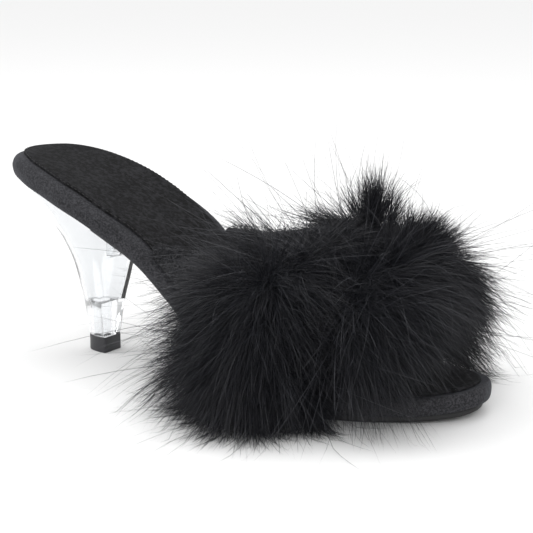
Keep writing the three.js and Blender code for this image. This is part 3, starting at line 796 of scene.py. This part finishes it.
def vamp_point(x, angle, offset):
    """Points of the vamp's outer face at x, at an angle over the foot from the near rim to the far one."""
    x, angle = np.broadcast_arrays(np.asarray(x, float), np.asarray(angle, float))
    middle, half, foot, rise = vamp_section(x, offset)
    power = 2 / VAMP_FULLNESS
    across = -np.sign(np.cos(angle)) * np.abs(np.cos(angle)) ** power
    return np.stack([x, middle + half * across, foot + rise * np.abs(np.sin(angle)) ** power], -1)


def collar_x(angle):
    return mix(COLLAR_CROWN_X, COLLAR_WING_X, np.abs(np.cos(angle)) ** COLLAR_SWEEP)


def toe_x(angle):
    return mix(TOE_CROWN_X, TOE_RIM_X, np.cos(angle) ** 2)


def make_vamp():
    """One band, its two open edges turned over and rounded."""
    arch, length, turns = 120, 34, 6
    fold = math.pi * np.arange(1, turns) / turns
    radius = VAMP_WALL / 2
    loops = []
    for angle in math.pi * np.linspace(0, 1, arch + 1):
        back, front = float(collar_x(angle)), float(toe_x(angle))
        share = np.linspace(0, 1, length + 1)
        outer_x = mix(back + radius, front - radius, share)
        front_x = front - radius + radius * np.sin(fold)
        back_x = back + radius - radius * np.sin(fold)
        x = np.concatenate([outer_x, front_x, outer_x[::-1], back_x])
        offset = np.concatenate([
            np.zeros(length + 1), -radius * (1 - np.cos(fold)),
            np.full(length + 1, -VAMP_WALL), -radius * (1 + np.cos(fold)),
        ])
        loops.append(vamp_point(x, np.full(len(x), angle), offset))
    verts, faces = loft(loops, caps=(False, False))
    # The two feet are closed by a strip between the outer and the inner face.
    size = len(loops[0])
    half = length + 1
    feet = []
    for start in (0, (len(loops) - 1) * size):
        outer = start + np.arange(half)
        inner = start + half + turns - 1 + np.arange(half)[::-1]
        feet.append(np.stack([outer[:-1], outer[1:], inner[1:], inner[:-1]], 1))
        feet_front = start + half - 1 + np.arange(turns + 1)
        feet_back = start + np.concatenate([2 * half + turns - 2 + np.arange(turns), [0]])
        for tip in (feet_front, feet_back):
            for k in range(1, turns // 2):
                a, b = k, turns - k
                feet.append(np.array([[tip[a - 1], tip[a], tip[b], tip[b + 1]]]))
            k = turns // 2
            feet.append(np.array([[tip[k - 1], tip[k], tip[k + 1], tip[k + 1]]]))
    faces = [list(dict.fromkeys(face)) for face in np.concatenate([faces, *feet]).tolist()]
    mesh = bpy.data.meshes.new("vamp_band")
    mesh.from_pydata((verts * MM).tolist(), [], faces)
    finish_mesh(mesh, 50)
    return belongs(link("vamp_band", mesh, VAMP), "vamp_fabric", "vamp")


# Feathers

# Strands keep this far from the vamp and the sole's side, the sock and the floor, and at the vamp's
# open edges. One deep inside is pushed out by no more than DEEPEST allows.
STRAND_CLEARANCE = 0.6
SOCK_GAP = 0.5
FLOOR_GAP = 0.5
EDGE_SPARE = 1
DEEPEST = 0.35


def unit(v):
    return v / np.maximum(np.linalg.norm(v, axis=-1, keepdims=True), 1e-9)


def clear_of_shoe(points):
    """Moves points out of the vamp, the sole and the floor."""
    p = points.copy()
    share = share_at(p[..., 0])
    turn = turn_of(share)
    mid, half, foot, rise = vamp_section(p[..., 0], STRAND_CLEARANCE)
    u = (p[..., 1] - mid) / half
    v = (p[..., 2] - foot) / rise
    angle = np.arctan2(np.maximum(v, 0), -u)
    under = (p[..., 0] > collar_x(angle) - EDGE_SPARE) & (p[..., 0] < toe_x(angle) + EDGE_SPARE)
    reach = (np.abs(u) ** VAMP_FULLNESS + np.maximum(v, 0) ** VAMP_FULLNESS) ** (1 / VAMP_FULLNESS)
    inside = under & (reach < 1) & (v > 0)
    push = np.where(inside, 1 / np.maximum(reach, DEEPEST), 1)
    p[..., 1] = mid + (p[..., 1] - mid) * push
    p[..., 2] = np.where(inside, foot + (p[..., 2] - foot) * push, p[..., 2])
    # The sole: out to its side, or up on to its top, whichever is nearer.
    wide = np.where(p[..., 1] < 0, near_half(turn), far_half(turn)) + STRAND_CLEARANCE
    top = top_height(p[..., 0]) + GAP + SOCK_THICKNESS + SOCK_GAP
    within = (np.abs(p[..., 1]) < wide) & (p[..., 2] < top) & (share > 0) & (share < 1)
    sideways = wide - np.abs(p[..., 1])
    upward = top - p[..., 2]
    out = within & (sideways < upward)
    p[..., 1] = np.where(out, np.sign(p[..., 1]) * wide, p[..., 1])
    p[..., 2] = np.where(within & ~out, top, p[..., 2])
    p[..., 2] = np.maximum(p[..., 2], FLOOR_GAP)
    return p


# What is left of a strand's width before its pointed end
STRAND_TAPER = 0.35


def ribbons(paths, widths):
    """Vertices and faces of flat tapering strands along paths (strand, step, axis)."""
    count, steps, _ = paths.shape
    tangent = unit(np.gradient(paths, axis=1))
    facing = unit(rng.normal(size=(count, 1, 3)))
    side = unit(np.cross(tangent, facing))
    taper = np.linspace(1, STRAND_TAPER, steps)[None, :, None] * widths[:, None, None] / 2
    left, right = paths - side * taper, paths + side * taper
    body = np.stack([left[:, :-1], right[:, :-1]], 2).reshape(count, -1, 3)
    verts = np.concatenate([body, paths[:, -1:]], 1)
    each = verts.shape[1]
    quad = np.array([[2 * k, 2 * k + 1, 2 * k + 3, 2 * k + 2] for k in range(steps - 2)])
    tip = np.array([[each - 3, each - 2, each - 1]])
    offset = (np.arange(count) * each)[:, None, None]
    return verts.reshape(-1, 3), (quad + offset).reshape(-1, 4), (tip + offset).reshape(-1, 3)


# How far strands may stand out of the CAD's box, as a share of its sides and in millimetres. Below,
# the floor is their limit.
ROOM_SHARE, ROOM = 0.03, 8.5
NO_LIMIT = 1000


def within_room(paths):
    """Shortens whole strands that would reach out of the room round the shoe."""
    low, high = np.array(cad_box) / MM
    room = ROOM_SHARE * (high - low) + ROOM
    low, high = low - room, high + room
    low[2] = -NO_LIMIT
    root = paths[:, :1]
    reach = paths - root
    over = np.maximum(reach / (high - root), reach / (low - root)).max(axis=(1, 2))
    return root + reach / np.maximum(over, 1)[:, None, None]


def strands(name, paths, widths, material):
    """One mesh object of many strands."""
    verts, quads, tips = ribbons(clear_of_shoe(within_room(paths)), widths)
    mesh = bpy.data.meshes.new(name)
    mesh.vertices.add(len(verts))
    mesh.vertices.foreach_set("co", (verts * MM).astype(np.float32).ravel())
    corners = np.concatenate([quads.ravel(), tips.ravel()])
    mesh.loops.add(len(corners))
    mesh.loops.foreach_set("vertex_index", corners.astype(np.int32))
    starts = np.concatenate([np.arange(len(quads)) * 4, len(quads) * 4 + np.arange(len(tips)) * 3])
    mesh.polygons.add(len(starts))
    mesh.polygons.foreach_set("loop_start", starts.astype(np.int32))
    mesh.polygons.foreach_set("use_smooth", np.ones(len(starts), bool))
    mesh.update(calc_edges=True)
    mesh.validate()
    return link(name, mesh, material)


# The lines of the trim's two cords, where its plumes are rooted: shares of the way from the collar to
# the front edge, over the crown and at the rim.
CORDS = {"collar": (0.3, 0.55), "front": (0.75, 0.84)}

# Fans of plumes. first and last are shares of the way over the foot, lean runs to the toe (+) or the
# heel (-) and out is away from the vamp. reach is in millimetres, fall is the droop's share of it.
FANS = """
cord   first last lean_low lean_high out  reach fall plumes
collar 0.00  0.22 -1.3     -0.5      0.5  56    0.3  92
collar 0.00  0.18 -0.5     0.5       0.9  52    0.6  58
collar 0.02  0.20 -0.2     1.0       1.2  70    0.5  70
collar 0.03  0.24 0.4      1.5       1.2  68    0.45 40
collar 0.16  0.32 -1.3     -0.5      0.2  42    0.1  34
collar 0.20  0.40 0.2      1.2       0.2  34    0.15 46
collar 0.34  0.72 0.6      1.4       0.05 25    0.05 44
collar 0.30  0.72 -1.3     -0.8      0.0  13    0.0  34
collar 0.66  1.00 -1.3     -0.5      0.45 46    0.3  46
collar 0.82  1.00 -0.5     0.5       0.9  48    0.6  38
front  0.00  0.13 -0.9     0.3       0.6  24    0.4  26
front  0.12  0.36 0.4      1.6       0.36 60    0.36 104
front  0.24  0.76 0.5      1.5       0.42 50    0.62 116
front  0.30  0.74 0.0      0.7       0.8  34    0.15 58
front  0.22  0.74 -1.2     -0.2      0.28 25    0.1  58
front  0.68  0.98 0.3      1.3       0.6  50    0.6  60
front  0.84  1.00 -0.6     0.4       0.9  46    0.6  28
"""

# Single tufts that stand out in the outline: root and tip, in millimetres.
TUFTS = """
cord   x0  y0 z0 x1  y1 z1  spread plumes
collar 138 1  64 138 4  106 0.1    11
collar 122 -38 22 144 -84 3 0.24  22
collar 132 -38 18 156 -70 2 0.24  20
collar 140 -3 62 136 -5 98  0.14   5
collar 141 6  62 140 22 92  0.2    5
front  148 8  60 163 14 85  0.3    12
front  150 10 58 176 18 80  0.3    12
"""

# Long single barbs, in the columns of the fans.
HAIRS = """
cord   first last lean_low lean_high out  reach fall hairs
collar 0.00  0.34 -1.4     -0.3      0.6  60    0.3  300
collar 0.00  0.20 -0.5     0.8       1.0  60    0.5  150
collar 0.24  0.76 -1.3     0.3       0.9  44    0.0  90
front  0.16  0.80 0.1      1.6       0.6  56    0.4  380
front  0.00  0.26 -0.4     1.4       0.5  48    0.3  160
front  0.25  0.75 -1.2     0.6       1.0  40    0.1  160
collar 0.70  1.00 -1.3     0.6       0.6  58    0.4  160
front  0.76  1.00 -0.4     1.4       0.6  58    0.5  140
"""

# How strands are shaped. A pair is the low and the high end of a random choice.
PLUME_BARBS = 80
BARB_STEPS = 6
HAIR_STEPS = 9
STRAND_WIDTH = (0.13, 0.3)
HAIR_WIDTH = (0.17, 0.3)
STRANDS_A_PIECE = 20000
ROOT_LIFT = 1.5
ROOT_SCATTER = 1.5
OUTWARD_STEP = 8.0
FAN_SPREAD = (0.6, 1.4)
FAN_REACH = (0.72, 1.1)
FAN_SWEEP = 0.34
TUFT_REACH = (0.8, 1.0)
TUFT_SCATTER = 2
HAIR_BEND = (0.25, 0.75)
HAIR_REACH = (0.6, 1.1)

# A plume's quill and barbs, as shares of its reach, and the barbs' slant in degrees. Crowding draws
# barbs to the quill's tip, and slant and length are less there by the shares lost.
QUILL_SHARE = 0.42
BARB_SHARE = 0.66
QUILL_BEND = (0.05, 0.3)
BARB_CROWDING = 0.8
BARB_SLANT = (4, 58)
BARB_LENGTH = (0.45, 1.15)
SLANT_LOST = 0.4
LENGTH_LOST = 0.25
WAVE_SHARE = 0.03
WAVE_TURN = 5
# Where a barb heads at its end: on as it started, along its quill, anywhere, down, and with the droop
ONWARD, FORWARD, ASTRAY, DOWNWARD, DROOPING = 0.75, 0.45, 0.28, 0.1, 1.1

# Short down all over the vamp, and a sixth of it close to the collar
UNDERCOAT = 9000
COLLAR_PART = 6
COLLAR_BAND = 0.05
DOWN_LENGTHS = (4.0, 13)
DOWN_REACH = (0.6, 1.2)
ROOT_DEPTH = 0.6
DOWN_RISE = (0.3, 1.0)
DOWN_ASTRAY, DOWN_BEND, DOWN_SAG = 0.8, 0.4, 0.25

# The pad under the plumes: its span from the collar to the front edge and over the foot, how thick it
# is at its edge and within, and its lumps
CORE_SPAN = (0.24, 0.94)
CORE_ARCH = (0.02, 0.98)
CORE_EDGE = 0.6
CORE_DEPTH = 5.0
CORE_FULLNESS = 0.6
CORE_LIFT = 0.45
CORE_LUMPS = 0.2


def plume_barbs(root, direction, reach, fall):
    """Barbs of plumes: each leaves its quill at a slant, bends forward and sags."""
    n, barbs = len(root), PLUME_BARBS
    length = QUILL_SHARE * reach
    bend = unit(rng.normal(size=(n, 3))) * rng.uniform(*QUILL_BEND, (n, 1))
    t = rng.uniform(0.0, 1.0, (n, barbs, 1)) ** BARB_CROWDING
    down = np.array([0.0, 0.0, -1.0])
    sag = fall[:, None, None] * down
    quill = root[:, None] + length[:, None, None] * (direction[:, None] * t + (bend[:, None] + sag) * t * t)
    tangent = unit(direction[:, None] + 2 * t * (bend[:, None] + sag))
    around = unit(np.cross(tangent, unit(rng.normal(size=(n, barbs, 3)))))
    slant = np.radians(rng.uniform(*BARB_SLANT, (n, barbs, 1)) * (1 - SLANT_LOST * t))
    start = np.cos(slant) * tangent + np.sin(slant) * around
    loose = unit(rng.normal(size=(n, barbs, 3)))
    end = unit(ONWARD * start + FORWARD * tangent + ASTRAY * loose + DOWNWARD * down + DROOPING * sag)
    grown = BARB_SHARE * reach[:, None, None] * rng.uniform(*BARB_LENGTH, (n, barbs, 1))
    long = grown * (1 - LENGTH_LOST * t)
    s = np.linspace(0, 1, BARB_STEPS)[None, None, :, None]
    path = quill[:, :, None] + long[:, :, None] * (
        start[:, :, None] * s + (end - start)[:, :, None] * s * s / 2)
    wave = unit(rng.normal(size=(n, barbs, 1, 3)))
    phase = rng.uniform(0, 2 * math.pi, (n, barbs, 1, 1))
    path = path + WAVE_SHARE * long[:, :, None] * wave * (np.sin(phase + WAVE_TURN * s) - np.sin(phase))
    return path.reshape(-1, BARB_STEPS, 3)


def cord_frame(cord, share):
    """Places on a cord, with the directions away from the vamp, to the toe and on over the foot."""
    angle = math.pi * share
    over, rim = CORDS[cord]
    at = mix(over, rim, np.cos(angle) ** 2)
    x = mix(collar_x(angle), toe_x(angle), at)
    base = vamp_point(x, angle, ROOT_LIFT)
    away = unit(vamp_point(x, angle, OUTWARD_STEP) - base)
    toe = unit(np.array([1.0, 0, 0]) - away * away[..., :1])
    return base, away, toe, np.cross(toe, away)


def fan_plumes(row):
    """Roots, directions, reaches and droops of a fan's plumes, or of its single barbs."""
    n = int(row.get("plumes") or row["hairs"])
    share = np.sort(rng.uniform(float(row["first"]), float(row["last"]), n))
    base, away, toe, over = cord_frame(row["cord"], share)
    lean = rng.uniform(float(row["lean_low"]), float(row["lean_high"]), (n, 1))
    out = float(row["out"]) * rng.uniform(*FAN_SPREAD, (n, 1))
    sweep = rng.normal(0, FAN_SWEEP, (n, 1))
    direction = unit(lean * toe + out * away + sweep * over)
    reach = float(row["reach"]) * rng.uniform(*FAN_REACH, n)
    fall = float(row["fall"]) * rng.uniform(*FAN_SPREAD, n)
    return base + rng.normal(0, ROOT_SCATTER, (n, 3)), direction, reach, fall


def tuft_plumes(row):
    n = int(row["plumes"])
    root = np.array([float(row[k]) for k in ("x0", "y0", "z0")])
    tip = np.array([float(row[k]) for k in ("x1", "y1", "z1")])
    direction = unit(unit(tip - root) + float(row["spread"]) * rng.normal(size=(n, 3)))
    reach = np.linalg.norm(tip - root) * rng.uniform(*TUFT_REACH, n)
    return root + rng.normal(0, TUFT_SCATTER, (n, 3)), direction, reach, np.zeros(n)


def hair_paths(row):
    """Long barbs, each a single curve that bends and sags."""
    root, direction, reach, fall = fan_plumes(row)
    n = len(root)
    bend = unit(rng.normal(size=(n, 3))) * rng.uniform(*HAIR_BEND, (n, 1))
    bend[:, 2] -= fall
    s = np.linspace(0, 1, HAIR_STEPS)[None, :, None]
    length = (reach * rng.uniform(*HAIR_REACH, n))[:, None, None]
    return root[:, None] + length * (direction[:, None] * s + bend[:, None] * s * s)


def core_depth(share):
    """How thick the down is at a share of the way from the collar to the front edge."""
    start, end = CORE_SPAN
    within = np.clip((share - start) / (end - start), 0, 1)
    return CORE_EDGE + CORE_DEPTH * np.sin(math.pi * within) ** CORE_FULLNESS


def undercoat_paths():
    """Short down all over the vamp, shortest on the bare cloth by the collar."""
    n, close = UNDERCOAT, UNDERCOAT // COLLAR_PART
    angle = math.pi * rng.uniform(*CORE_ARCH, n)
    at = rng.uniform(0.0, CORE_ARCH[1], n)
    at[:close] = rng.uniform(0.0, COLLAR_BAND, close)
    x = mix(collar_x(angle), toe_x(angle), at)
    root = vamp_point(x, angle, ROOT_DEPTH * core_depth(at))
    away = unit(vamp_point(x, angle, OUTWARD_STEP) - root)
    covered = np.clip((at - CORE_SPAN[0]) / CORE_SPAN[0], 0, 1)
    length = mix(*DOWN_LENGTHS, covered) * rng.uniform(*DOWN_REACH, n)
    loose = unit(rng.normal(size=(n, 3)))
    direction = unit(away * rng.uniform(*DOWN_RISE, (n, 1)) + DOWN_ASTRAY * loose)
    bend = unit(rng.normal(size=(n, 3))) * DOWN_BEND - np.array([0, 0, DOWN_SAG])
    s = np.linspace(0, 1, BARB_STEPS)[None, :, None]
    return root[:, None] + length[:, None, None] * (direction[:, None] * s + bend[:, None] * s * s)


def make_feathers():
    """The plumes by cord and side, then the long single barbs and the short down."""
    groups = {}
    for text, plumes in ((FANS, fan_plumes), (TUFTS, tuft_plumes)):
        for row in rows_of(text):
            root, direction, reach, fall = plumes(row)
            paths = plume_barbs(root, direction, reach, fall)
            near = np.repeat(root[:, 1] < 0, PLUME_BARBS)
            groups.setdefault(row["cord"] + "_near", []).append(paths[near])
            groups.setdefault(row["cord"] + "_far", []).append(paths[~near])
    for name, parts in groups.items():
        paths = np.concatenate(parts)
        widths = rng.uniform(*STRAND_WIDTH, len(paths))
        for k, start in enumerate(range(0, len(paths), STRANDS_A_PIECE)):
            chosen = slice(start, start + STRANDS_A_PIECE)
            piece = strands(f"feathers_{name}_{k + 1}", paths[chosen], widths[chosen], FEATHER)
            belongs(piece, "feathers", "feather_trim")
    paths = np.concatenate([hair_paths(row) for row in rows_of(HAIRS)])
    piece = strands("long_barbs_painted_sheen", paths, rng.uniform(*HAIR_WIDTH, len(paths)), PAINTED_SHEEN_BARBS)
    belongs(piece, "feathers", "feather_trim")
    paths = undercoat_paths()
    piece = strands("undercoat", paths, rng.uniform(*STRAND_WIDTH, len(paths)), FEATHER)
    belongs(piece, "feathers", "feather_trim")


def make_core():
    """A soft uneven pad on the vamp under the plumes, painted dark as the shade deep in the trim."""
    arch, length = 90, 40
    loops = []
    for angle in math.pi * np.linspace(*CORE_ARCH, arch + 1):
        share = np.linspace(0, 1, length + 1)
        at = mix(*CORE_SPAN, share)
        x = mix(collar_x(angle), toe_x(angle), at)
        lumps = 1 + CORE_LUMPS * np.sin(x * 0.37 + 5 * angle) * np.sin(11 * angle + 0.21 * x)
        outer = vamp_point(x, angle, core_depth(at) * lumps)
        inner = vamp_point(x, angle, CORE_LIFT)
        loops.append(np.concatenate([outer, inner[::-1]]))
    verts, faces = loft(loops, rungs=3)
    verts[:, 2] = np.maximum(verts[:, 2], STRAND_CLEARANCE)
    return belongs(solid("feather_core_painted_shade", verts, faces, PAINTED_SHADE_DOWN, 60), "feathers", "feather_trim")


# Stage

# The floor is pale enough to come out white, and no paler, so that the clear heel shows against it.
FLOOR_TONE = 0.85
FLOOR_REACH = 5.0


def make_floor():
    """One plain pale floor, as matt as it can be."""
    reach = FLOOR_REACH
    mesh = bpy.data.meshes.new("floor")
    corners = [(-reach, -reach, 0), (reach, -reach, 0), (reach, reach, 0), (-reach, reach, 0)]
    mesh.from_pydata(corners, [], [(0, 1, 2, 3)])
    m = Nodes("floor")
    m.set(Base_Color=(FLOOR_TONE, FLOOR_TONE, FLOOR_TONE, 1))
    m.set(Roughness=m.ramp(m.noise(3, 1, 0.5), 0.9, 1.0), Specular_IOR_Level=0.0)
    link("floor", mesh, m.material)


def area_light(name, place, aim, size, power):
    data = bpy.data.lights.new(name, "AREA")
    data.shape, data.size, data.energy = "SQUARE", size, power
    light = bpy.data.objects.new(name, data)
    bpy.context.scene.collection.objects.link(light)
    light.location = place
    light.rotation_euler = (Vector(aim) - Vector(place)).to_track_quat("-Z", "Y").to_euler()


# Brightness of the studio's walls, which edge the clear heel in grey, and of its ceiling, and the
# heights of a direction where the one begins to give way to the other and has done so
WALLS, CEILING = 0.52, 1.18
WALL_TOP, CEILING_EDGE = 0.05, 0.7

# Square lamps: place, aim, side and power
LAMPS = {
    "top": ((0.05, 0.1, 1.2), (0.08, 0, 0), 1.0, 3),
    "front": ((0.75, -1.2, 0.6), (0.08, 0, 0.03), 1.3, 12.5),
    "left": ((-1.0, -0.6, 0.6), (0.05, 0, 0.03), 0.8, 4),
}


def make_light():
    world = bpy.data.worlds.new("studio")
    bpy.context.scene.world = world
    world.use_nodes = True
    background = next(n for n in world.node_tree.nodes if n.type == "BACKGROUND")
    background.inputs["Color"].default_value = (1, 1, 1, 1)
    tree = world.node_tree
    place = tree.nodes.new("ShaderNodeTexCoord")
    split = tree.nodes.new("ShaderNodeSeparateXYZ")
    rise = tree.nodes.new("ShaderNodeMapRange")
    tree.links.new(place.outputs["Generated"], split.inputs["Vector"])
    tree.links.new(split.outputs["Z"], rise.inputs["Value"])
    for name, value in zip(("From Min", "From Max", "To Min", "To Max"),
                           (WALL_TOP, CEILING_EDGE, WALLS, CEILING)):
        rise.inputs[name].default_value = value
    tree.links.new(rise.outputs["Result"], background.inputs["Strength"])
    for name, lamp in LAMPS.items():
        area_light(name, *lamp)
    bpy.context.scene.view_settings.view_transform = "Standard"
    bpy.context.scene.view_settings.look = "None"


make_light()
make_floor()
make_footbed()
make_sock()
make_stitches()
make_outsole()
make_heel()
make_tip()
make_vamp()
make_core()
make_feathers()
